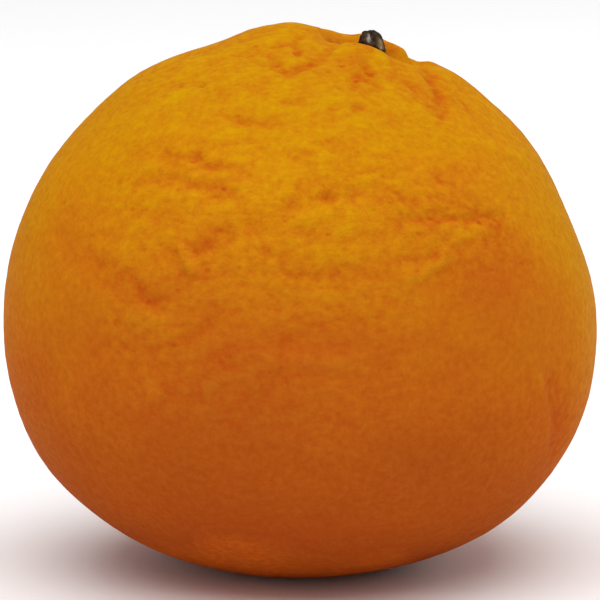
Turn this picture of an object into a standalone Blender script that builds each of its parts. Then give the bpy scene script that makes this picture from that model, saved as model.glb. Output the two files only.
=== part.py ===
# A whole mandarin with its calyx and the clipped stub of its stem. Metres, +Z up.
# It stands on a small flat spot at its blossom end, with its stem end up and leaning to +X.
# The fruit is a round body with swellings and dents: its skin is a distance from the body's
# centre for every direction, and the calyx and the stub are seated on that skin.

import math

import bmesh
import bpy
import numpy as np
from mathutils import Matrix, Vector

MM = 0.001

# The body: a round form, a little flattened, with its own power for the crown and for the base.
BODY_RADIUS = 36.2 * MM
CROWN_HEIGHT = 33.8 * MM
BASE_HEIGHT = 30.9 * MM
CROWN_POWER = 2.05
BASE_POWER = 2.25
BODY_LEAN = 1.5  # degrees from +Z to +X
STEM_LEAN = 15  # degrees from +Z to +X
FLAT_DEPTH = 0.4 * MM

# The recess that the calyx sits in.
RECESS_DEPTH = 2.5 * MM
RECESS_SPREAD = 6.5  # degrees

# Swellings and dents of the skin: turn about the stem from +X, tilt from the stem and spread,
# all in degrees, and height.
SWELLINGS = {
    "left_knob": (171, 18.5, 12, 2.0 * MM),
    "left_wall": (194, 6.5, 4.2, -1.1 * MM),
    "back_lobe": (42, 6.5, 2.8, 1.7 * MM),
    "back_rim": (93, 6.5, 4.1, 2.2 * MM),
    "front_rim": (260, 8.5, 6, 1.9 * MM),
    "right_groove": (350, 10, 2.9, -0.8 * MM),
    "right_shoulder": (353, 15.5, 8, 0.7 * MM),
    "upper_right_dent": (0, 54, 18, -1.1 * MM),
    "upper_left_cheek": (180, 46, 15, 0.8 * MM),
    "back_cheek": (115, 62, 24, 0.5 * MM),
    "back_dent": (70, 88, 16, -0.6 * MM),
}

# The stub: a short round stick, cut off on the slant.
STUB_RADIUS = 1.7 * MM
STUB_LENGTH = 1.1 * MM
STUB_SLANT = 18  # degrees that the cut face turns to +X
STUB_EDGE = 0.4 * MM

# The calyx: a lobed disc under the stub, whose underside follows the floor of the recess.
CALYX_MARGIN = 0.7 * MM  # how far it shows around the stub
CALYX_RADIUS = STUB_RADIUS + CALYX_MARGIN
CALYX_THICKNESS = 0.7 * MM
CALYX_LOBES = 5
LOBE_REACH = 0.35 * MM

SEAT_GAP = 0.4 * MM  # between pieces that sit on each other

FRUIT_SEGMENTS = 72
FRUIT_RINGS = 48
RING_CROWDING = 0.5  # how much closer the rings lie at both ends
CALYX_SEGMENTS = 40
CALYX_RINGS = 12
AIMING_PASSES = 10
STUB_SEGMENTS = 24
SHARP_ANGLE = 50  # degrees between faces that meet in a sharp edge

PEEL = {"colour": (0.60, 0.21, 0.008, 1.0), "roughness": 0.42}
CALYX = {"colour": (0.060, 0.032, 0.014, 1.0), "roughness": 0.75}
STUB = {"colour": (0.130, 0.080, 0.035, 1.0), "roughness": 0.80}


def direction(turn, tilt):
    """Unit vector in the stem's frame, from degrees about the stem and degrees away from it."""
    turn, tilt = math.radians(turn), math.radians(tilt)
    return np.array(
        [math.sin(tilt) * math.cos(turn), math.sin(tilt) * math.sin(turn), math.cos(tilt)]
    )


def angle_from(directions, axis):
    """Degrees between unit vectors and one axis."""
    return np.degrees(np.arccos(np.clip(directions @ axis, -1.0, 1.0)))


def skin_distance(directions):
    """Distance from the body's centre to the skin, along unit vectors in the stem's frame."""
    body_axis = direction(180, STEM_LEAN - BODY_LEAN)
    tilt = np.radians(angle_from(directions, body_axis))
    crown = tilt < math.pi / 2
    height = np.where(crown, CROWN_HEIGHT, BASE_HEIGHT)
    power = np.where(crown, CROWN_POWER, BASE_POWER)
    across = (np.sin(tilt) / BODY_RADIUS) ** power
    along = (np.abs(np.cos(tilt)) / height) ** power
    distance = (across + along) ** (-1 / power)
    recess = (0, 0, RECESS_SPREAD, -RECESS_DEPTH)
    for turn, away, spread, rise in [recess, *SWELLINGS.values()]:
        angle = angle_from(directions, direction(turn, away))
        distance = distance + rise * np.exp(-((angle / spread) ** 2))
    return distance


def skin_height(x, y):
    """Height of the skin above the body's centre, along the stem, at a place beside the stem.

    The ray to the place is aimed again at each new height, which soon stops changing."""
    height = CROWN_HEIGHT
    for _ in range(AIMING_PASSES):
        ray = np.array([x, y, height])
        ray = ray / np.linalg.norm(ray)
        height = float(skin_distance(ray)) * ray[2]
    return height


def calyx_height(x, y, reach):
    """Height of the calyx's top, which thins to an edge as reach goes from 0 to 1."""
    return skin_height(x, y) + SEAT_GAP + CALYX_THICKNESS * math.sqrt(max(0.0, 1 - reach**2))


def calyx_edge(turn):
    """Radius of the calyx's outline, with a lobe every fifth of a turn."""
    return CALYX_RADIUS + LOBE_REACH * math.cos(CALYX_LOBES * turn)


def stub_seat():
    """Height of the stub's flat base, clear of the highest place of the calyx under it."""
    heights = [calyx_height(0, 0, 0)]
    for step in range(STUB_SEGMENTS):
        turn = 2 * math.pi * step / STUB_SEGMENTS
        x, y = STUB_RADIUS * math.cos(turn), STUB_RADIUS * math.sin(turn)
        heights.append(calyx_height(x, y, STUB_RADIUS / calyx_edge(turn)))
    return max(heights) + SEAT_GAP


def new_part(name, bm, finish, collection):
    """Object from a bmesh, with its own material, shaded smooth."""
    mesh = bpy.data.meshes.new(name)
    bm.to_mesh(mesh)
    bm.free()
    mesh.shade_smooth()
    mesh.set_sharp_from_angle(angle=math.radians(SHARP_ANGLE))
    material = bpy.data.materials.new(name)
    material.use_nodes = True
    shader = material.node_tree.nodes["Principled BSDF"]
    shader.inputs["Base Color"].default_value = finish["colour"]
    shader.inputs["Roughness"].default_value = finish["roughness"]
    shader.inputs["Metallic"].default_value = 0.0
    mesh.materials.append(material)
    part = bpy.data.objects.new(name, mesh)
    collection.objects.link(part)
    return part


def make_fruit(collection, lean):
    """The fruit, cut flat below and moved so that its box stands on the origin.

    Returns the place of the body's centre."""
    bm = bmesh.new()
    bmesh.ops.create_uvsphere(bm, u_segments=FRUIT_SEGMENTS, v_segments=FRUIT_RINGS, radius=1.0)
    for vert in bm.verts:
        turn = math.atan2(vert.co.y, vert.co.x)
        share = math.acos(max(-1.0, min(1.0, vert.co.z))) / math.pi
        crowding = RING_CROWDING * math.sin(2 * math.pi * share) / 2
        tilt = math.pi * share - crowding
        ray = direction(math.degrees(turn), math.degrees(tilt))
        vert.co = lean @ Vector(ray * float(skin_distance(ray)))

    floor = min(vert.co.z for vert in bm.verts) + FLAT_DEPTH
    bmesh.ops.bisect_plane(
        bm,
        geom=bm.verts[:] + bm.edges[:] + bm.faces[:],
        plane_co=(0, 0, floor),
        plane_no=(0, 0, -1),
        clear_outer=True,
    )
    rim = [edge for edge in bm.edges if edge.is_boundary]
    bmesh.ops.holes_fill(bm, edges=rim, sides=0)
    bmesh.ops.recalc_face_normals(bm, faces=bm.faces)

    xs = [vert.co.x for vert in bm.verts]
    ys = [vert.co.y for vert in bm.verts]
    centre = Vector((-(min(xs) + max(xs)) / 2, -(min(ys) + max(ys)) / 2, -floor))
    bmesh.ops.translate(bm, verts=bm.verts, vec=centre)
    new_part("fruit", bm, PEEL, collection)
    return centre


def make_calyx(collection, stem_axis):
    """The calyx, on the floor of the recess."""
    bm = bmesh.new()
    bmesh.ops.create_uvsphere(bm, u_segments=CALYX_SEGMENTS, v_segments=CALYX_RINGS, radius=1.0)
    for vert in bm.verts:
        turn = math.atan2(vert.co.y, vert.co.x)
        reach = min(1.0, math.hypot(vert.co.x, vert.co.y))
        x = reach * calyx_edge(turn) * math.cos(turn)
        y = reach * calyx_edge(turn) * math.sin(turn)
        height = calyx_height(x, y, reach) if vert.co.z > 0 else skin_height(x, y) + SEAT_GAP
        vert.co = (x, y, height)
    calyx = new_part("calyx", bm, CALYX, collection)
    calyx.parent = stem_axis


def make_stub(collection, stem_axis):
    """The stub of the stem, on the calyx, with its top cut on the slant."""
    bm = bmesh.new()
    bmesh.ops.create_cone(
        bm,
        cap_ends=True,
        segments=STUB_SEGMENTS,
        radius1=STUB_RADIUS,
        radius2=STUB_RADIUS,
        depth=STUB_LENGTH,
    )
    seat = stub_seat()
    slant = math.tan(math.radians(STUB_SLANT))
    for vert in bm.verts:
        if vert.co.z > 0:
            vert.co.z = seat + STUB_LENGTH - vert.co.x * slant
        else:
            vert.co.z = seat
    stub = new_part("stem_stub", bm, STUB, collection)
    stub.parent = stem_axis
    edge = stub.modifiers.new("rounded_edges", "BEVEL")
    edge.width = STUB_EDGE
    edge.segments = 2
    edge.limit_method = "ANGLE"
    edge.angle_limit = math.radians(SHARP_ANGLE)


def main():
    for old in list(bpy.data.objects):
        bpy.data.objects.remove(old, do_unlink=True)
    collection = bpy.data.collections.new("mandarin")
    bpy.context.scene.collection.children.link(collection)
    lean = Matrix.Rotation(math.radians(STEM_LEAN), 3, "Y")

    centre = make_fruit(collection, lean)
    stem_axis = bpy.data.objects.new("stem_axis", None)
    stem_axis.location = centre
    stem_axis.rotation_euler = lean.to_euler()
    collection.objects.link(stem_axis)
    make_calyx(collection, stem_axis)
    make_stub(collection, stem_axis)
    bpy.context.view_layer.update()


main()
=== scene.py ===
import math

import bpy
import numpy as np
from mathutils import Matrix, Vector


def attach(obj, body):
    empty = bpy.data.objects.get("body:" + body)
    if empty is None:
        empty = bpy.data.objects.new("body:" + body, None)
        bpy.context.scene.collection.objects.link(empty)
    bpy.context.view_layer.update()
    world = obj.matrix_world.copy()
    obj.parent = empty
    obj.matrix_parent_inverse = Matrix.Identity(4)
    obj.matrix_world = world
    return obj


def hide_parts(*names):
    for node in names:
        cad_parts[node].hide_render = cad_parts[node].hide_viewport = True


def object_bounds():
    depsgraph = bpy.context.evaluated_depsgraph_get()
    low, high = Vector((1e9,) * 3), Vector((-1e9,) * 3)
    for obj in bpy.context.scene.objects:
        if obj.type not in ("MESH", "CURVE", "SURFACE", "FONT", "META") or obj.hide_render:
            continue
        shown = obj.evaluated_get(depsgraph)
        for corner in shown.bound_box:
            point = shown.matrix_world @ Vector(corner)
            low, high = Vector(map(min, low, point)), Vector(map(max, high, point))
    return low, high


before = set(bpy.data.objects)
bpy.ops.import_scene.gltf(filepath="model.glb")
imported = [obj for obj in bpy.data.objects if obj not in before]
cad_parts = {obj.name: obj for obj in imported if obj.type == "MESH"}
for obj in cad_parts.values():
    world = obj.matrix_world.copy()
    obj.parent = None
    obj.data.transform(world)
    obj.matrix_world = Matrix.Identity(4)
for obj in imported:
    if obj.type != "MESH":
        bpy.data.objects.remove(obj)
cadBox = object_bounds()

mm = 0.001


def unitVector(turn, tilt):
    # unit vector from degrees about +Z, counted from +X, and degrees away from +Z
    turn, tilt = np.radians(turn), np.radians(tilt)
    flat = np.sin(tilt)
    return np.stack([flat * np.cos(turn), flat * np.sin(turn), np.cos(tilt)], axis=-1)


def place(longitude, latitude):
    # unit vector from the fruit's middle: degrees about +Z and degrees above the equator
    return unitVector(longitude, 90 - latitude)


def angleFrom(directions, axis):
    # degrees between unit vectors and one axis
    return np.degrees(np.arccos(np.clip(directions @ axis, -1, 1)))


def smoothStep(low, high, value):
    # 0 below low, 1 above high, with an eased rise between; a fall where low is above high
    t = np.clip((value - low) / (high - low), 0, 1)
    return t * t * (3 - 2 * t)


def rising(least, share):
    # from least where the share is 0 to 1 where it is 1
    return least + (1 - least) * share


def turnedFrom(longitude, middle):
    # degrees of longitude past a middle one, from -180 to 180
    return (longitude - middle + 180) % 360 - 180


def waves(points, length, seed, count=28):
    # sum of plane waves in even random directions, with wavelengths from 0.8 to 1.25 of length;
    # the sum is scaled to a spread of about 1
    rng = np.random.default_rng(seed)
    ways = rng.normal(size=(count, 3))
    ways /= np.linalg.norm(ways, axis=1, keepdims=True)
    ways *= 2 * np.pi / (length * rng.uniform(0.8, 1.25, (count, 1)))
    phases = rng.uniform(0, 2 * np.pi, count)
    total = np.zeros(points.shape[:-1])
    for way, phase in zip(ways, phases):
        total += np.cos(points @ way + phase)
    return total * math.sqrt(2 / count)


def cells(points, size, seed):
    # distance to the nearest of a set of scattered points, one in each cube of a lattice, in
    # cube sides: the home cube and its 26 neighbours are tried, and large primes mix a cube's
    # steps and the seed into the place of its point
    scaled = points / size
    home = np.floor(scaled).astype(np.int64)
    nearest = np.full(points.shape[:-1], 9.0)
    for step in np.ndindex(3, 3, 3):
        cube = home + np.array(step) - 1
        key = (cube[..., 0] * 73856093) ^ (cube[..., 1] * 19349663) ^ (cube[..., 2] * 83492791)
        away = np.zeros(points.shape[:-1])
        for axis in range(3):
            mixed = (key + seed + axis * 7919) * 2654435761 % 4294967296
            jitter = (mixed ^ (mixed >> 15)) % 65536 / 65536
            away += (cube[..., axis] + 0.1 + 0.8 * jitter - scaled[..., axis]) ** 2
        nearest = np.minimum(nearest, away)
    return np.sqrt(nearest)


def closedSheet(name, rows, firstPole, lastPole, marks=()):
    # a mesh from a grid of points, round in its second direction, closed with a fan at both
    # poles; marks are named values, one for each point of the grid and one for each pole
    count, around = rows.shape[:2]
    points = np.vstack([rows.reshape(-1, 3), firstPole, lastPole])
    here = np.arange(count * around).reshape(count, around)
    beside = np.roll(here, -1, axis=1)
    quads = np.stack([here[:-1], here[1:], beside[1:], beside[:-1]], axis=-1).reshape(-1, 4)
    first, last = count * around, count * around + 1
    top = np.stack([np.full(around, first), here[0], beside[0]], axis=-1)
    bottom = np.stack([np.full(around, last), beside[-1], here[-1]], axis=-1)
    corners = np.concatenate([quads.ravel(), top.ravel(), bottom.ravel()])
    sizes = np.concatenate([np.full(len(quads), 4), np.full(2 * around, 3)])
    mesh = bpy.data.meshes.new(name)
    mesh.vertices.add(len(points))
    mesh.vertices.foreach_set("co", points.astype(np.float32).ravel())
    mesh.loops.add(len(corners))
    mesh.loops.foreach_set("vertex_index", corners.astype(np.int32))
    mesh.polygons.add(len(sizes))
    starts = np.concatenate([[0], np.cumsum(sizes)[:-1]])
    mesh.polygons.foreach_set("loop_start", starts.astype(np.int32))
    mesh.update(calc_edges=True)
    mesh.validate()
    mesh.shade_smooth()
    for label, values in marks:
        layer = mesh.attributes.new(label, "FLOAT", "POINT")
        layer.data.foreach_set("value", values.astype(np.float32))
    piece = bpy.data.objects.new(name, mesh)
    bpy.context.scene.collection.objects.link(piece)
    return piece


# the fruit's form, in millimetres and degrees, as the solid model has it
fruitForm = {
    "bodyRadius": 36.2,
    "crownHeight": 33.8,
    "baseHeight": 30.9,
    "crownPower": 2.05,
    "basePower": 2.25,
    "bodyLean": 1.5,
    "stemLean": 15,
    "flatDepth": 0.4,
}

# turn about the stem, tilt from the stem, spread, height
swellings = {
    "recess": (0, 0, 6.5, -2.5),
    "leftKnob": (171, 18.5, 12, 2.0),
    "leftWall": (194, 6.5, 4.2, -1.1),
    "backLobe": (42, 6.5, 2.8, 1.7),
    "backRim": (93, 6.5, 4.1, 2.2),
    "frontRim": (260, 8.5, 6, 1.9),
    "rightGroove": (350, 10, 2.9, -0.8),
    "rightShoulder": (353, 15.5, 8, 0.7),
    "upperRightDent": (0, 54, 18, -1.1),
    "upperLeftCheek": (180, 46, 15, 0.8),
    "backCheek": (115, 62, 24, 0.5),
    "backDent": (70, 88, 16, -0.6),
}

# the grid of the skin: more columns in front, more rows above
skinGrid = {"columns": 340, "rows": 290, "frontShare": 0.35, "topShare": 0.16}

# creases and ridges of the skin: from and to in longitude and latitude, half width and depth in
# millimetres, where a negative depth is a ridge, then the lip below as a share of the depth
creases = {
    "leftBrow": (226, 40, 257, 38, 0.8, 0.26, 0.4),
    "leftBrowLower": (228, 35, 258, 33, 0.8, 0.20, 0.5),
    "middleBrow": (264, 30, 288, 34, 0.8, 0.36, 0.5),
    "longCrease": (288, 28, 317, 26, 0.6, 0.33, 0.4),
    "foldSlope": (243.5, 23, 250, 17, 0.5, -0.36, 0.45),
    "foldPatch": (247, 22, 253, 22.5, 0.8, 0.30, 0.2),
    "cheekPatch": (252, 24, 268, 28, 0.9, 0.30, 0.3),
    "sideCrease": (207, 23, 232, 14, 1.3, 0.18, 0.3),
    "sideCreaseEnd": (228, 15, 247, 10, 1.0, 0.24, 0.8),
    "middlePatch": (266, 18, 281, 18, 1.3, 0.13, 0.4),
    "rightPatch": (305, 20, 324, 18, 2.4, 0.16, 0.1),
    "rightRidge": (289, 15, 302, 21, 0.6, -0.32, 0.5),
    "beltPatch": (262, 6, 280, 5, 1.2, 0.26, 0.6),
    "beltRidge": (248, -4, 266, -1, 0.7, -0.26, 0.5),
    "beltRidgeUpper": (264, 2, 282, 2, 0.6, -0.26, 0.5),
    "leftBelt": (222, 3, 250, 0, 1.4, 0.14, 0.7),
    "crownHatch": (245, 51, 265, 50, 0.7, 0.34, 0.2),
    "neckVee": (246, 75, 262, 66, 0.6, 0.36, 0.3),
    "neckVeeRise": (262, 66, 281, 72, 0.6, 0.32, 0.3),
    "neckVeeSide": (262, 81, 269, 74, 0.5, 0.34, 0.2),
    "neckHatch": (237, 70, 251, 69, 0.6, 0.34, 0.3),
    "neckHatchLow": (221, 60, 229, 61, 0.5, 0.26, 0.3),
    "neckHatchFar": (226, 63, 234, 63, 0.5, 0.24, 0.3),
    "stemFurrow": (310, 70, 301, 60, 0.7, 0.50, 0.1),
    "stemFurrowLeft": (298, 67, 292, 61, 0.5, 0.26, 0.1),
    "frontFurrow": (286, 54, 293, 54, 0.6, 0.34, 0.2),
    "frontStreak": (278, 54, 284, 55, 0.5, 0.26, 0.2),
    "frontStreakLeft": (262, 56, 272, 56, 0.6, 0.32, 0.2),
    "notchFold": (338, 69, 20, 64, 0.45, 0.42, 0.0),
    "shoulderFurrow": (340, 61, 323, 53, 0.8, 0.66, 0.2),
    "shoulderFurrowLow": (322, 52, 316, 50, 0.6, 0.34, 0.1),
    "shoulderArc": (317, 44, 342, 34, 0.8, -0.24, 0.3),
    "hipDent": (323, -4, 337, -24, 2.0, 0.40, 0.1),
    "hipRidge": (317, 2, 330, -22, 0.8, -0.26, 0.2),
    "backBrow": (20, 38, 52, 33, 0.9, 0.18, 0.6),
    "backCrease": (70, 24, 104, 18, 0.8, 0.24, 0.8),
    "backFurrow": (60, 64, 75, 50, 0.8, 0.30, 0.3),
    "backBelt": (118, 4, 150, 9, 1.2, 0.18, 0.7),
    "backSide": (150, 30, 178, 22, 0.9, 0.20, 0.6),
}

# how a crease is drawn: its line wanders and its strength swings by waves of these lengths in
# millimetres; the bells of its valley and lip, and the lip's drop, are in its half widths
creaseShape = {
    "wander": 0.22,
    "wanderLength": 4.5,
    "strength": 0.85,
    "swing": 0.25,
    "swingLength": 2.2,
    "valleyWidth": 1.25,
    "lipDrop": 2.2,
    "lipWidth": 1.5,
}

# touches of the visible skin alone, round the stem and on the knob, in degrees and millimetres:
# turn about the stem, tilt from the stem, spread, height
neckTouches = {
    "frontDip": (268, 5.5, 4.0, -0.75),
    "backRise": (129, 8.0, 7.3, 0.28),
    "backDip": (92, 7.0, 3.0, -0.40),
    "rightNotch": (4, 8.6, 2.2, -0.74),
    "rightHump": (6, 10.9, 2.4, 0.62),
    "lobeCorner": (45, 6.8, 1.5, -0.38),
    "backGroove": (36, 11.5, 4.1, -0.47),
    "pitInWall": (190, 8.0, 1.6, -0.40),
    "knobFoot": (165, 34.5, 4.5, -0.42),
    "knobTop": (177, 18, 8, 0.12),
    "knobShoulder": (160, 27.2, 3.2, 0.18),
}

# the relief over the whole skin: wavelength and rise in millimetres, how far it is stretched
# level and bent, and the least share of it that is left where its place calls for none
relief = {
    "rolling": {"length": 17, "rise": 0.07, "awayFromStem": (10, 30)},
    "streaks": {"length": 2.9, "rise": 0.032, "stretch": 3.4, "bend": 0.9, "least": 0.10},
    "wrinkles": {"length": 1.30, "rise": 0.026, "stretch": 2.3, "bend": 0.6, "least": 0.25},
    "threads": {"rise": 0.09, "width": 0.5, "least": 0.12, "cutByPebbles": 0.6},
    "blotches": {"length": 4.5, "rise": 0.03, "least": 0.2},
    "pebbles": {"length": 1.5, "rise": 0.050, "least": 0.5, "level": 0.6},
    "furrows": {"count": 11, "rise": 0.22, "wander": 1.5, "start": (6, 11), "end": (18, 40)},
    "bendLength": 15,
    "wanderLength": 22,
    "neckFrom": (42, 60),
    "upperFrom": (-25, 10),
}

# how much each kind of relief counts in the peel's colour as painted shade in its hollows and painted
# highlight on its raised places
hollowShadeShares = {
    "folds": 1.3,
    "streaks": 0.01,
    "streaksCreased": 0.07,
    "wrinkles": 0.02,
    "wrinklesCreased": 0.08,
    "threads": 0.38,
    "blotches": 0.02,
    "blotchesNeck": 0.09,
    "pebbles": 0.10,
    "furrows": 0.50,
}

# painted shade in the hollows by the stem: turn about the stem, tilt, spread, how much shade
stemHollowShade = {
    "recess": (0, 0, 7, 0.5),
    "leftWall": (165, 7, 5, 0.4),
    "pitInWall": (190, 8, 1.3, 0.9),
}

# where the skin is creased level: longitude, latitude, half width and half height in degrees
creasedAreas = {
    "front": (262, 24, 36, 23),
    "frontBelt": (258, 2, 26, 14),
    "right": (306, 27, 16, 10),
    "back": (62, 22, 34, 20),
    "backLeft": (140, 30, 26, 16),
}

# painted rim light: the deep front, and how much paler the sides and most of all the right side are
# painted, as light on the fruit's edges, and how pale the underside is; the pairs are degrees past the
# front's middle, or degrees of latitude, between which a share rises or falls
paintedRimLight = {
    "longitude": 268,
    "width": 62,
    "beside": 0.75,
    "right": 0.75,
    "rightStart": (30, 75),
    "rightEnd": (110, 150),
    "upperEnd": (20, 45),
    "under": 0.6,
    "underEnd": (-88, -60),
}

# broad tints, of which the right edge's is a painted rim light: longitude, latitude, half width and half
# height in degrees, then how much paler and how much deeper
tints = {
    "shoulder": (324, 57, 13, 8, -0.2, 0.36),
    "neckFront": (290, 67, 18, 6, -0.2, 0.26),
    "rightCheek": (312, 15, 17, 10, -0.8, 0.08),
    "rightBrow": (309, 35, 12, 5, -0.7, 0.10),
    "leftBrow": (246, 37, 14, 6, -0.5, 0.04),
    "leftSide": (215, 24, 12, 9, -0.4, 0.0),
    "sideHollow": (238, 14, 11, 4, -0.6, 0.05),
    # a painted rim light along the right edge
    "rightEdgeRimLight": (345, 2, 11, 20, 0.7, -0.04),
    "hip": (305, -32, 16, 12, 0.3, -0.04),
    "beltShade": (276, 5, 16, 4, -0.3, 0.06),
}

# the scar under the fruit, and how softly the skin rounds into the flat spot, in millimetres
blossomEnd = {"longitude": 200, "latitude": -87, "radius": 1.1, "depth": 0.5, "softness": 0.06}


def fromStem(vectors):
    # the stem's frame turned about Y, so that the stem leans to +X
    lean = math.radians(fruitForm["stemLean"])
    x = vectors[..., 0] * math.cos(lean) + vectors[..., 2] * math.sin(lean)
    z = vectors[..., 2] * math.cos(lean) - vectors[..., 0] * math.sin(lean)
    return np.stack([x, vectors[..., 1], z], axis=-1)


def addBells(total, directions, spots):
    # total with a bell shape for each spot: turn about the stem, tilt, spread, height
    for turn, away, spread, rise in spots.values():
        angle = angleFrom(directions, unitVector(turn, away))
        total = total + rise * np.exp(-((angle / spread) ** 2))
    return total


def bodyDistance(directions):
    # distance from the middle to the smooth skin, along unit vectors in the stem's frame: a
    # round body whose sine and cosine terms add up under a power, with bell-shaped swellings
    form = fruitForm
    axis = unitVector(180, form["stemLean"] - form["bodyLean"])
    tilt = np.radians(angleFrom(directions, axis))
    crown = tilt < np.pi / 2
    height = np.where(crown, form["crownHeight"], form["baseHeight"])
    power = np.where(crown, form["crownPower"], form["basePower"])
    across = (np.sin(tilt) / form["bodyRadius"]) ** power
    along = (np.abs(np.cos(tilt)) / height) ** power
    return addBells((across + along) ** (-1 / power), directions, swellings)


def creaseRelief(directions, radius):
    # every crease follows the great circle between its ends: a bell-shaped valley across it,
    # a lip on its lower side, and both fade out at the ends
    shape = creaseShape
    points = directions * radius
    height = np.zeros(directions.shape[:-1])
    for fromLon, fromLat, toLon, toLat, width, depth, lip in creases.values():
        start, end = place(fromLon, fromLat), place(toLon, toLat)
        pole = np.cross(start, end)
        pole /= np.linalg.norm(pole)
        if pole[2] < 0:
            pole = -pole
        middle = (start + end) / np.linalg.norm(start + end)
        side = np.cross(pole, middle)
        reach = math.acos(float(start @ end)) / 2 * radius
        along = np.arctan2(directions @ side, directions @ middle) * radius
        across = np.arcsin(np.clip(directions @ pole, -1, 1)) * radius
        wander = waves(points, shape["wanderLength"], int(fromLon + toLat + 90))
        across = across + shape["wander"] * wander
        fade = np.exp(-np.clip(np.abs(along) / reach, 0, 5) ** 4)
        swing = waves(points, shape["swingLength"], int(fromLon + 3 * toLat + 400))
        fade *= shape["strength"] + shape["swing"] * swing
        valley = np.exp(-((across / (shape["valleyWidth"] * width)) ** 2))
        below = (across + shape["lipDrop"] * width) / (shape["lipWidth"] * width)
        below = np.exp(-(below**2))
        height += fade * depth * (lip * below - valley)
    return height


def creasedShare(longitude, latitude):
    # how creased the skin is, 0 to 1: the areas' bell shapes, added and limited
    share = 0 * latitude
    for middleLon, middleLat, width, height in creasedAreas.values():
        turned = turnedFrom(longitude, middleLon)
        share += np.exp(-((turned / width) ** 4) - ((latitude - middleLat) / height) ** 4)
    return np.clip(share, 0, 1)


def paintedRimLightShare(longitude, latitude):
    # painted rim light: the side away from the deep front is painted paler, most of all to the right,
    # except high up; towards the lower pole the share settles on one value
    turned = turnedFrom(longitude, paintedRimLight["longitude"])
    beside = 1 - np.exp(-((turned / paintedRimLight["width"]) ** 4))
    right = smoothStep(*paintedRimLight["rightStart"], turned) * (1 - smoothStep(*paintedRimLight["rightEnd"], turned))
    share = beside * (paintedRimLight["beside"] + paintedRimLight["right"] * right)
    share = share * (1 - smoothStep(*paintedRimLight["upperEnd"], latitude))
    return paintedRimLight["under"] + (share - paintedRimLight["under"]) * smoothStep(*paintedRimLight["underEnd"], latitude)


def tintShares(longitude, latitude):
    # how much paler and how much deeper each place is: the tints' bell shapes, added
    paler, deeper = 0 * latitude, 0 * latitude
    for middleLon, middleLat, width, height, pale, deep in tints.values():
        turned = turnedFrom(longitude, middleLon)
        bell = np.exp(-((turned / width) ** 2) - ((latitude - middleLat) / height) ** 2)
        paler += pale * bell
        deeper += deep * bell
    return paler, deeper


def skinRelief(directions, stemDirections):
    # what stands on the smooth skin, in millimetres: rolling, creases, level streaks and wrinkles with
    # fine threads between them, blotches round the neck, oil gland pebbles, and furrows that run from the
    # stem; with it come marks of each place, such as its painted shade in hollows and painted highlight on
    # raised places
    radius = fruitForm["bodyRadius"]
    points = directions * radius
    latitude = np.degrees(np.arcsin(np.clip(directions[..., 2], -1, 1)))
    longitude = np.degrees(np.arctan2(directions[..., 1], directions[..., 0]))
    creased = creasedShare(longitude, latitude)
    neck = smoothStep(*relief["neckFrom"], latitude)
    upper = smoothStep(*relief["upperFrom"], latitude)
    turn = np.arctan2(stemDirections[..., 1], stemDirections[..., 0])
    away = np.degrees(np.arccos(np.clip(stemDirections[..., 2], -1, 1)))
    bend = waves(points, relief["bendLength"], 3)[..., None]

    def flattened(part):
        # the points drawn together level, which stretches a pattern that way, and bent
        return points * np.array([1 / part["stretch"], 1 / part["stretch"], 1]) + part["bend"] * bend

    part = relief["rolling"]
    height = part["rise"] * smoothStep(*part["awayFromStem"], away) * waves(points, part["length"], 11)
    part = relief["streaks"]
    streaks = waves(flattened(part), part["length"], 12, count=40)
    height += part["rise"] * rising(part["least"], creased) * streaks
    part = relief["wrinkles"]
    wrinkles = waves(flattened(part), part["length"], 13, count=60)
    height += part["rise"] * rising(part["least"], creased) * wrinkles
    part = relief["pebbles"]
    pebbles = part["level"] - cells(points, part["length"], 5)
    height += part["rise"] * rising(part["least"], upper) * pebbles
    part = relief["threads"]
    threads = np.exp(-((wrinkles / part["width"]) ** 2)) * smoothStep(0.4, -1.4, streaks)
    threads *= rising(part["least"], creased) * (1 - part["cutByPebbles"] * smoothStep(0, 0.45, pebbles))
    height -= part["rise"] * threads
    part = relief["blotches"]
    blotches = waves(points, part["length"], 14)
    height += part["rise"] * rising(part["least"], neck) * blotches
    part = relief["furrows"]
    wander = part["wander"] * waves(points, relief["wanderLength"], 17)
    furrows = np.clip(np.cos(part["count"] * turn + wander), 0, 1) ** 2
    reach = smoothStep(*part["start"], away) * (1 - smoothStep(*part["end"], away))
    furrows *= reach * smoothStep(-0.8, 0.8, blotches)
    height -= part["rise"] * furrows

    folds = creaseRelief(directions, radius)
    neckShape = addBells(0 * away, stemDirections, neckTouches)
    paler, deeper = tintShares(longitude, latitude)
    share = hollowShadeShares
    # painted shade: the colour deepens in creases, threads, furrows, pits and the stem's recess, and pales
    # on raised places as painted highlight, with the tints' deeper patches
    hollowShadeAndTone = (
        deeper
        - share["folds"] * folds
        - (share["streaks"] + share["streaksCreased"] * creased) * streaks
        - (share["wrinkles"] + share["wrinklesCreased"] * creased) * wrinkles
        + share["threads"] * threads
        - (share["blotches"] + share["blotchesNeck"] * neck) * blotches
        - share["pebbles"] * pebbles
        + share["furrows"] * furrows
    )
    hollowShadeAndTone = addBells(hollowShadeAndTone, stemDirections, stemHollowShade)
    marks = {
        "hollowShadeAndTone": np.clip(hollowShadeAndTone, -1, 1.5),
        "creased": np.clip(creased + 0.7 * neck, 0, 1),
        "grainy": upper,
        # the pale mark: the painted rim light on the sides, with the tints' paler patches
        "pale": paintedRimLightShare(longitude, latitude) + paler,
    }
    return height + folds + neckShape, marks


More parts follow.
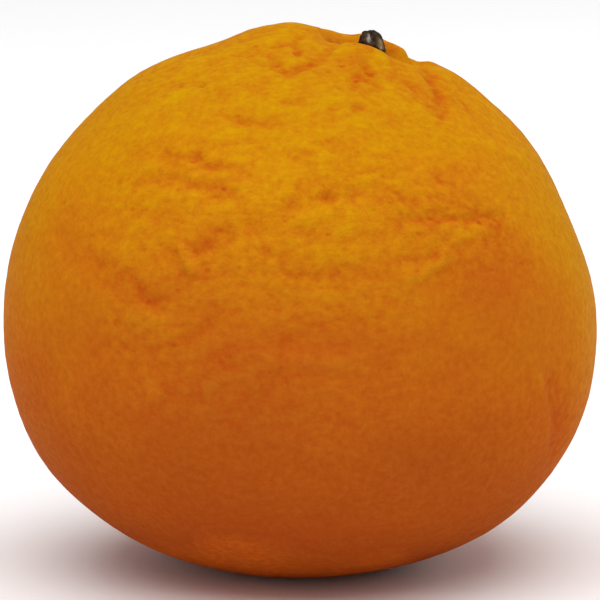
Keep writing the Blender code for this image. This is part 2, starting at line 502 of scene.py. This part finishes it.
def makeFruit():
    # the skin: rays on a grid about the stem, closer together in front and above, each as long
    # as the smooth body and its relief, and set down with the flat spot on the floor
    grid = skinGrid
    step = np.arange(grid["columns"]) / grid["columns"] * 2 * np.pi
    turn = step - np.pi / 2 + grid["frontShare"] * np.sin(step + np.pi)
    share = (np.arange(grid["rows"]) + 0.5) / grid["rows"]
    tilt = np.pi * (share + grid["topShare"] * (share**2 - share))
    tilt = np.append(np.insert(tilt, 0, 0), np.pi)
    turnGrid, tiltGrid = np.meshgrid(np.degrees(turn), np.degrees(tilt))
    stemWays = unitVector(turnGrid, tiltGrid)
    ways = fromStem(stemWays)
    height, places = skinRelief(ways, stemWays)
    smooth = bodyDistance(stemWays)

    scar = angleFrom(ways, place(blossomEnd["longitude"], blossomEnd["latitude"]))
    scar = np.radians(scar) * fruitForm["baseHeight"] / blossomEnd["radius"]
    height -= blossomEnd["depth"] * np.exp(-(scar**2))
    skin = ways * (smooth + height)[..., None]

    # the smooth body, without its relief, gives the place: its box is the solid model's
    body = ways * smooth[..., None]
    low, high = body.reshape(-1, 3).min(axis=0), body.reshape(-1, 3).max(axis=0)
    floor = low[2] + fruitForm["flatDepth"]
    middle = np.array([-(low[0] + high[0]) / 2, -(low[1] + high[1]) / 2, -floor])
    skin = skin + middle
    # the flat spot is the soft larger one of the skin's height and zero
    soft = blossomEnd["softness"]
    skin[..., 2] = np.logaddexp(0, skin[..., 2] / soft) * soft
    skin *= mm

    def mark(values):
        # the grid's values and both poles', in the order of the mesh's points
        return np.append(values[1:-1].ravel(), [values[0].mean(), values[-1].mean()])

    places["scar"] = np.exp(-(scar**4))
    marks = [(name, mark(values)) for name, values in places.items()]
    poles = skin[[0, -1]].mean(axis=1)
    return closedSheet("mandarinSkin", skin[1:-1], poles[0], poles[1], marks), middle


fruit, middle = makeFruit()
print("skin", len(fruit.data.polygons), "faces")


def newMaterial(name, roughness=0.5, specular=0.5):
    # a material with its constant sockets set, and its shader
    material = bpy.data.materials.new(name)
    material.use_nodes = True
    shader = material.node_tree.nodes["Principled BSDF"]
    shader.inputs["Roughness"].default_value = roughness
    shader.inputs["Specular IOR Level"].default_value = specular
    return material, shader


class NodeKit:
    # short calls that add nodes to one material
    def __init__(self, material):
        self.tree = material.node_tree

    def add(self, kind, values=(), **settings):
        node = self.tree.nodes.new(kind)
        for key, value in settings.items():
            setattr(node, key, value)
        for socket, value in values:
            if isinstance(value, bpy.types.NodeSocket):
                self.tree.links.new(value, node.inputs[socket])
            else:
                node.inputs[socket].default_value = value
        return node

    def objectPoint(self):
        return self.add("ShaderNodeTexCoord").outputs["Object"]

    def attribute(self, name):
        return self.add("ShaderNodeAttribute", attribute_name=name).outputs["Fac"]

    def sums(self, operation, first, second, clamp=False):
        values = [(0, first), (1, second)]
        return self.add("ShaderNodeMath", values, operation=operation, use_clamp=clamp).outputs[0]

    def span(self, value, low, high, toLow=0.0, toHigh=1.0):
        values = [(0, value), (1, low), (2, high), (3, toLow), (4, toHigh)]
        return self.add("ShaderNodeMapRange", values).outputs[0]

    def swing(self, noise, reach):
        # a noise's middle values, spread from -reach to reach
        return self.span(noise, 0.3, 0.7, -reach, reach)

    def stretched(self, point, scale):
        return self.add("ShaderNodeMapping", [("Vector", point), ("Scale", scale)]).outputs[0]

    def noise(self, point, scale, detail, roughness=0.5):
        values = [("Vector", point), ("Scale", scale), ("Detail", detail), ("Roughness", roughness)]
        return self.add("ShaderNodeTexNoise", values).outputs[0]

    def bump(self, height, strength, distance):
        values = [("Height", height), ("Strength", strength), ("Distance", distance)]
        return self.add("ShaderNodeBump", values).outputs[0]

    def mix(self, factor, first, second, blend="MIX"):
        values = [(0, factor), (6, first), (7, second)]
        node = self.add("ShaderNodeMix", values, data_type="RGBA", blend_type=blend)
        return node.outputs[2]

    def ramp(self, value, stops):
        node = self.add("ShaderNodeValToRGB", [(0, value)])
        band = node.color_ramp
        while len(band.elements) < len(stops):
            band.elements.new(0.5)
        for element, (position, colour) in zip(band.elements, stops):
            element.position = position
            element.color = (*colour, 1)
        return node.outputs[0]


# the peel: colours as linear light from the blossom end to the stem end, yellower towards the stem as the
# fruit's own tone and darker low down partly as painted shade, sizes in millimetres; a pair is the value
# where the skin is not creased or grainy, then where it is
peelLook = {
    "colours": [
        # the two lightest stops at the very bottom are painted light against the floor's contact shadow
        (0.00, (0.68, 0.150, 0.0100)),
        (0.06, (0.535, 0.113, 0.0095)),
        (0.13, (0.366, 0.073, 0.0085)),
        (0.33, (0.424, 0.101, 0.0080)),
        (0.45, (0.512, 0.134, 0.0075)),
        (0.63, (0.57, 0.206, 0.0045)),
        (0.78, (0.578, 0.265, 0.0018)),
        (0.90, (0.55, 0.280, 0.0010)),
        (1.00, (0.54, 0.270, 0.0010)),
    ],
    "deep": (0.445, 0.055, 0.005),
    "scar": (0.10, 0.05, 0.02),
    "specular": 0.006,
    "roughness": (0.5, 0.62),
    "height": 0.066,
    "patchScale": 70,
    "patchShift": 0.05,
    "paleShift": 0.14,
    "pitSize": 1.25,
    "pitScale": (0.72, 0.72, 1.0),
    "pitReach": (0.06, 0.30),
    "pitChance": (0.35, 0.9),
    "pitShade": (0.10, 0.34),
    "pitBump": 0.6,
    "streakSize": 0.75,
    "streakScale": (0.5, 0.5, 1.0),
    "streakTint": 0.15,
    "streakShare": (0.2, 1.0),
    "streakBump": (0.3, 0.9),
    "grainSize": 0.85,
    "grainTint": 0.13,
    "grainShare": (1.3, 1.0),
    "grainBump": (2.0, 1.5),
    "dapple": (0.09, 0.03),
    "bumpHeight": 0.11,
}


def makePeelMaterial():
    look = peelLook
    material, shader = newMaterial("peel", specular=look["specular"])
    kit = NodeKit(material)
    point = kit.objectPoint()
    hollowShadeAndTone = kit.attribute("hollowShadeAndTone")
    creased = kit.attribute("creased")
    grainy = kit.attribute("grainy")

    # the base colour goes with height, darker low down partly as painted shade, shifted by broad patches
    # and paler where the painted rim light falls on the sides
    height = kit.add("ShaderNodeSeparateXYZ", [(0, point)]).outputs["Z"]
    patches = kit.noise(point, look["patchScale"], 3)
    level = kit.span(height, 0.0, look["height"])
    level = kit.sums("ADD", level, kit.swing(patches, look["patchShift"]))
    paleness = kit.sums("MULTIPLY", kit.attribute("pale"), look["paleShift"])
    level = kit.sums("ADD", level, paleness, clamp=True)
    base = kit.ramp(level, look["colours"])

    # pits: the middles of scattered cells, each as deep as its cell's chance says
    pits = kit.add(
        "ShaderNodeTexVoronoi",
        [
            ("Vector", kit.stretched(point, look["pitScale"])),
            ("Scale", 1 / (look["pitSize"] * mm)),
            ("Randomness", 1.0),
        ],
        feature="F1",
    )
    chance = kit.add("ShaderNodeSeparateColor", [(0, pits.outputs["Color"])]).outputs[0]
    pitDepth = kit.span(pits.outputs["Distance"], *look["pitReach"], 1.0, 0.0)
    pitDepth = kit.sums("MULTIPLY", pitDepth, kit.span(chance, *look["pitChance"]))

    # deeper orange: painted shade in hollows and pits, and the streaks' and grain's own uneven tone
    streakPoint = kit.stretched(point, look["streakScale"])
    streaky = kit.noise(streakPoint, 1 / (look["streakSize"] * mm), 3, 0.6)
    grain = kit.noise(point, 1 / (look["grainSize"] * mm), 3, 0.65)
    streakShare = kit.span(creased, 0, 1, *look["streakShare"])
    streakTint = kit.sums("MULTIPLY", kit.swing(streaky, look["streakTint"]), streakShare)
    grainShare = kit.span(grainy, 0, 1, *look["grainShare"])
    grainTint = kit.sums("MULTIPLY", kit.swing(grain, look["grainTint"]), grainShare)
    # painted shade in the gland pits
    pitShade = kit.sums("MULTIPLY", pitDepth, kit.span(creased, 0, 1, *look["pitShade"]))
    pitShade = kit.sums("MULTIPLY", pitShade, kit.span(hollowShadeAndTone, -0.3, 0.4, 0.5, 1.4))
    deepToneAndShade = kit.sums("ADD", kit.span(hollowShadeAndTone, -0.5, 1.2, 0.0, 1.0), streakTint)
    deepToneAndShade = kit.sums("ADD", deepToneAndShade, grainTint)
    deepToneAndShade = kit.sums("ADD", deepToneAndShade, pitShade, clamp=True)
    colour = kit.mix(deepToneAndShade, base, (*look["deep"], 1))

    # a light dapple by the grain, and the dark scar
    dapple = kit.sums("MULTIPLY", kit.swing(grain, -1), kit.span(grainy, 0, 1, *look["dapple"]))
    dapple = kit.sums("ADD", dapple, 1.0)
    colour = kit.mix(1.0, colour, dapple, blend="MULTIPLY")
    colour = kit.mix(kit.attribute("scar"), colour, (*look["scar"], 1))
    kit.tree.links.new(colour, shader.inputs["Base Color"])

    # bumps: the grain stands up, ripples and pits go down
    grainBump = kit.span(grainy, 0, 1, *look["grainBump"])
    bumps = kit.sums("MULTIPLY", kit.sums("SUBTRACT", grain, 0.5), grainBump)
    streakBump = kit.span(creased, 0, 1, *look["streakBump"])
    ripple = kit.sums("MULTIPLY", kit.sums("SUBTRACT", streaky, 0.5), streakBump)
    bumps = kit.sums("SUBTRACT", bumps, ripple)
    bumps = kit.sums("SUBTRACT", bumps, kit.sums("MULTIPLY", pitDepth, look["pitBump"]))
    kit.tree.links.new(kit.bump(bumps, 1.0, look["bumpHeight"] * mm), shader.inputs["Normal"])
    rough = kit.span(grain, 0.3, 0.7, *look["roughness"])
    kit.tree.links.new(rough, shader.inputs["Roughness"])
    return material


fruit.data.materials.append(makePeelMaterial())
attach(fruit, "root")
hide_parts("fruit")


def toWorld(points):
    # millimetres in the stem's frame, from the middle of the body, to metres in the world
    return (fromStem(points) + middle) * mm


def skinAbove(x, y):
    # height of the skin along the stem, beside the stem: the ray to the place is aimed again
    # at each new height, which soon stops changing
    height = np.full(np.shape(x), fruitForm["crownHeight"])
    for _ in range(8):
        rays = np.stack([x, y, height], axis=-1)
        rays = rays / np.linalg.norm(rays, axis=-1, keepdims=True)
        rise = skinRelief(fromStem(rays), rays)[0]
        height = (bodyDistance(rays) + rise) * rays[..., 2]
    return height


def skinAtStem():
    # height of the skin where the stem's axis leaves it
    return float(skinAbove(np.array([0.0]), np.array([0.0]))[0])


# the calyx: a dry star of lobes on the floor of the recess, millimetres
calyxForm = {
    "radius": 2.2,
    "lobes": 5,
    "lobeReach": 0.38,
    "lobePower": 0.8,
    "lobeTwist": 0.5,
    "wobble": 0.10,
    "frill": 0.05,
    "thickness": 0.75,
    "domeReach": 0.93,
    "curl": 0.28,
    "curlStart": 0.75,
    "sink": 0.15,
    "ribs": 30,
    "ribDepth": 0.05,
    "roughRise": 0.04,
    "roughLength": 0.7,
    "columns": 160,
    "rings": 18,
}


def makeCalyx():
    # rings of points out to a lobed edge: above, the skin's height with a low dome, ribs and
    # curled tips, and below, a plain underside sunk into the skin
    form = calyxForm
    turn = np.arange(form["columns"]) / form["columns"] * 2 * np.pi
    reach = np.linspace(0, 1, form["rings"] + 1)[1:]
    under = reach[-2::-4]
    turnTop, reachTop = np.meshgrid(turn, reach)
    turnUnder, reachUnder = np.meshgrid(turn, under)
    turns, reaches = np.vstack([turnTop, turnUnder]), np.vstack([reachTop, reachUnder])
    lobe = np.cos(form["lobes"] * turns + form["lobeTwist"] * np.sin(2 * turns))
    edge = form["radius"] + form["lobeReach"] * np.sign(lobe) * np.abs(lobe) ** form["lobePower"]
    edge += form["wobble"] * np.cos(3 * turns + 1) + form["frill"] * np.cos(11 * turns)
    x, y = reaches * edge * np.cos(turns), reaches * edge * np.sin(turns)
    floor = skinAbove(x, y)
    dome = form["thickness"] * np.sqrt(np.clip(1 - (reaches * form["domeReach"]) ** 2, 0, 1))
    ribs = form["ribDepth"] * np.cos(form["ribs"] * turns + 2 * np.sin(3 * turns)) * reaches
    curl = form["curl"] * smoothStep(form["curlStart"], 1, reaches) * np.clip(lobe, 0, 1)
    rough = form["roughRise"] * waves(np.stack([x, y, 0 * x], axis=-1), form["roughLength"], 31)
    top = floor + dome + ribs + curl + rough
    isTop = np.arange(len(reaches))[:, None] < len(reach)
    height = np.where(isTop, top, floor - form["sink"])
    rows = toWorld(np.stack([x, y, height], axis=-1))
    centre = skinAtStem()
    poles = toWorld(np.array([[0, 0, centre + form["thickness"]], [0, 0, centre - form["sink"]]]))
    ridge = np.append(np.clip(ribs / form["ribDepth"], -1, 1).ravel(), [0, 0])
    rim = np.append((reaches * isTop).ravel(), [0, 0])
    marks = [("ridge", ridge), ("rim", rim)]
    return closedSheet("calyxStar", rows, poles[0], poles[1], marks)


# the stub: a short woody stick, broken off on the slant, millimetres and degrees
stubForm = {
    "radius": 1.76,
    "oval": 0.05,
    "threeSided": 0.04,
    "flare": 0.28,
    "barkRidges": 13,
    "barkDepth": 0.07,
    "barkTwist": 1.5,
    "sideWaves": 0.05,
    "leftward": 0.36,
    "seat": 0.55,
    "sink": 0.5,
    "length": 3.1,
    "slant": 16,
    "frontDrop": 24,
    "frontDropEnd": 0.6,
    "crown": 0.34,
    "crownAt": 0.15,
    "notchAt": -0.35,
    "notchSkew": 0.25,
    "notchWidth": 0.30,
    "notchDepth": 0.5,
    "notchReach": (1.5, 0.2),
    "roughRise": 0.07,
    "roughLength": 1.0,
    "rimDrop": 0.12,
    "rimInset": 0.97,
    "rimFrom": 0.93,
    "greyHighlightAt": -0.95,
    "greyHighlightWidth": 0.24,
    "tanAt": 0.7,
    "tanWidth": 0.40,
    "columns": 144,
    "sideRows": 22,
    "topRings": 24,
}


def makeStub():
    # a cut face in rings inside a ridged outline, then the side in rows from the cut's rim down
    # to a flared foot that is sunk into the calyx
    form = stubForm
    turn = np.arange(form["columns"]) / form["columns"] * 2 * np.pi
    oval = form["oval"] * np.cos(2 * turn + 2.2)
    outline = form["radius"] * (1 + oval + form["threeSided"] * np.cos(3 * turn + 0.7))
    base = skinAtStem() + form["seat"]

    def cutHeight(x, y):
        # the cut falls to the right and to the front, is crowned, and has a notch of pith
        height = base + form["length"] - x * math.tan(math.radians(form["slant"]))
        height += np.minimum(y, form["frontDropEnd"]) * math.tan(math.radians(form["frontDrop"]))
        height -= form["crown"] * ((x - form["crownAt"]) ** 2)
        across = (x - form["notchAt"] + form["notchSkew"] * y) / form["notchWidth"]
        notch = form["notchDepth"] * np.exp(-(across**2))
        height -= notch * smoothStep(*form["notchReach"], np.hypot(x, y + 0.2))
        rough = waves(np.stack([x, y, 0 * x], axis=-1), form["roughLength"], 41)
        return height + form["roughRise"] * rough

    ridges = np.cos(form["barkRidges"] * turn + form["barkTwist"] * np.sin(2 * turn))
    ridges = ridges * form["barkDepth"]
    rings = np.linspace(0, 1, form["topRings"] + 1)[1:-1, None]
    inward = rings * (outline + ridges) * np.where(rings > form["rimFrom"], form["rimInset"], 1)
    x, y = inward * np.cos(turn), inward * np.sin(turn)
    top = np.stack([x, y, cutHeight(x, y)], axis=-1)

    share = np.linspace(1, 0, form["sideRows"])[:, None]
    radius = outline + ridges + form["flare"] * (1 - share) ** 3
    radius = radius + form["sideWaves"] * np.sin(share * 9 + 3 * np.cos(turn))
    rim = cutHeight(outline * np.cos(turn), outline * np.sin(turn)) - form["rimDrop"]
    height = base - form["sink"] + share * (rim - base + form["sink"])
    side = np.stack([radius * np.cos(turn), radius * np.sin(turn), height], axis=-1)

    rows = np.concatenate([top, side]) - np.array([form["leftward"], 0, 0])
    firstPole = toWorld(np.array([0, 0, float(cutHeight(np.array(0.0), np.array(0.0)))]))
    lastPole = toWorld(np.array([0, 0, base - form["sink"]]))
    face = np.concatenate([0 * top[..., 0] + smoothStep(0.98, 0.8, rings), 0 * side[..., 0]])
    face = face * smoothStep(0.5, -0.3, rows[..., 1])
    # a painted grey highlight on the front left of the cut
    greyHighlight = face * np.exp(-(((rows[..., 0] - form["greyHighlightAt"]) / form["greyHighlightWidth"]) ** 2))
    tan = face * np.exp(-(((rows[..., 0] - form["tanAt"]) / form["tanWidth"]) ** 2))
    marks = [("greyHighlight", np.append(greyHighlight.ravel(), [0, 0])), ("tan", np.append(tan.ravel(), [0, 0]))]
    return closedSheet("stubWood", toWorld(rows), firstPole, lastPole, marks)


# the dry calyx: colours as linear light, bump height in millimetres
calyxLook = {
    "roughness": 0.8,
    "specular": 0.2,
    "grainScale": 1800,
    "bump": 0.6,
    "bumpHeight": 0.05,
    "colours": [
        (0.0, (0.020, 0.010, 0.004)),
        (0.5, (0.070, 0.040, 0.018)),
        (1.0, (0.160, 0.100, 0.050)),
    ],
}


def makeCalyxMaterial():
    look = calyxLook
    material, shader = newMaterial("calyx", look["roughness"], look["specular"])
    kit = NodeKit(material)
    grain = kit.noise(kit.objectPoint(), look["grainScale"], 4)
    ridge = kit.span(kit.attribute("ridge"), -1, 1, 0.0, 0.35)
    shade = kit.sums("ADD", ridge, kit.span(grain, 0.35, 0.65, 0.0, 0.5))
    shade = kit.sums("ADD", shade, kit.span(kit.attribute("rim"), 0.6, 1.0, 0.0, 0.25), clamp=True)
    colour = kit.ramp(shade, look["colours"])
    kit.tree.links.new(colour, shader.inputs["Base Color"])
    bump = kit.bump(grain, look["bump"], look["bumpHeight"] * mm)
    kit.tree.links.new(bump, shader.inputs["Normal"])
    return material


# the woody stub: dark bark, a painted grey highlight on the left of its cut, and the tan streak of wood on
# its cut
stubLook = {
    "roughness": 0.75,
    "specular": 0.08,
    "grainScale": 1500,
    "bump": 0.6,
    "bumpHeight": 0.06,
    "bark": [(0.0, (0.008, 0.004, 0.0015)), (1.0, (0.060, 0.031, 0.013))],
    "greyHighlight": [(0.0, (0.120, 0.090, 0.065)), (1.0, (0.380, 0.330, 0.290))],
    "wood": [(0.0, (0.130, 0.072, 0.028)), (1.0, (0.380, 0.260, 0.120))],
}


def makeStemMaterial():
    look = stubLook
    material, shader = newMaterial("stem", look["roughness"], look["specular"])
    kit = NodeKit(material)
    grain = kit.noise(kit.objectPoint(), look["grainScale"], 4)
    spread = kit.span(grain, 0.3, 0.7)
    colour = kit.mix(kit.attribute("greyHighlight"), kit.ramp(spread, look["bark"]), kit.ramp(spread, look["greyHighlight"]))
    colour = kit.mix(kit.attribute("tan"), colour, kit.ramp(spread, look["wood"]))
    kit.tree.links.new(colour, shader.inputs["Base Color"])
    bump = kit.bump(grain, look["bump"], look["bumpHeight"] * mm)
    kit.tree.links.new(bump, shader.inputs["Normal"])
    return material


calyx = makeCalyx()
calyx.data.materials.append(makeCalyxMaterial())
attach(calyx, "root")
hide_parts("calyx")
stub = makeStub()
stub.data.materials.append(makeStemMaterial())
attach(stub, "root")
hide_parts("stem_stub")
print("calyx and stub", len(calyx.data.polygons) + len(stub.data.polygons), "faces")

# the camera looks down on the fruit's middle, from far off through a narrow lens: degrees,
# metres, and the lens in millimetres
view = {"rise": 10, "distance": 0.6, "width": 0.0730, "drop": 0.0005, "sensor": 36}


def makeCamera():
    # the lens is as long as makes the view this wide at the fruit's distance
    low, high = cadBox
    target = (Vector(low) + Vector(high)) / 2
    target.z -= view["drop"]
    rise = math.radians(view["rise"])
    away = Vector((0, -math.cos(rise), math.sin(rise)))
    lens = bpy.data.cameras.new("camera")
    lens.sensor_width = view["sensor"]
    lens.lens = view["sensor"] * view["distance"] / view["width"]
    lens.clip_start = 0.01
    camera = bpy.data.objects.new("camera", lens)
    camera.location = target + away * view["distance"]
    camera.rotation_euler = (-away).to_track_quat("-Z", "Y").to_euler()
    bpy.context.scene.collection.objects.link(camera)
    bpy.context.scene.camera = camera


makeCamera()

lamps = {
    "overhead": {"at": (-0.05, -0.3, 1.3), "size": 1.8, "power": 22.5},
    "rightStrip": {"at": (0.55, 0.35, 0.25), "size": 0.3, "power": 0.7},
}
room = {"floorSize": 4.0, "floorColour": (0.93, 0.93, 0.93, 1), "ambient": 0.46, "aimAt": (0, 0, 0.03)}


def makeRoom():
    for name, lamp in lamps.items():
        light = bpy.data.lights.new(name, "AREA")
        light.energy = lamp["power"]
        light.size = lamp["size"]
        holder = bpy.data.objects.new(name, light)
        holder.location = lamp["at"]
        aim = Vector(room["aimAt"]) - Vector(lamp["at"])
        holder.rotation_euler = aim.to_track_quat("-Z", "Y").to_euler()
        bpy.context.scene.collection.objects.link(holder)
    world = bpy.data.worlds.new("studio")
    world.use_nodes = True
    sky = world.node_tree.nodes["Background"]
    sky.inputs["Color"].default_value = (1, 1, 1, 1)
    sky.inputs["Strength"].default_value = room["ambient"]
    bpy.context.scene.world = world

    half = room["floorSize"] / 2
    mesh = bpy.data.meshes.new("floor")
    corners = [(-half, -half, 0), (half, -half, 0), (half, half, 0), (-half, half, 0)]
    mesh.from_pydata(corners, [], [(0, 1, 2, 3)])
    floor = bpy.data.objects.new("floor", mesh)
    bpy.context.scene.collection.objects.link(floor)
    material, shader = newMaterial("floorPaper", roughness=0.9)
    shader.inputs["Base Color"].default_value = room["floorColour"]
    mesh.materials.append(material)


makeRoom()
bpy.context.scene.view_settings.view_transform = "Standard"
print("room and camera")
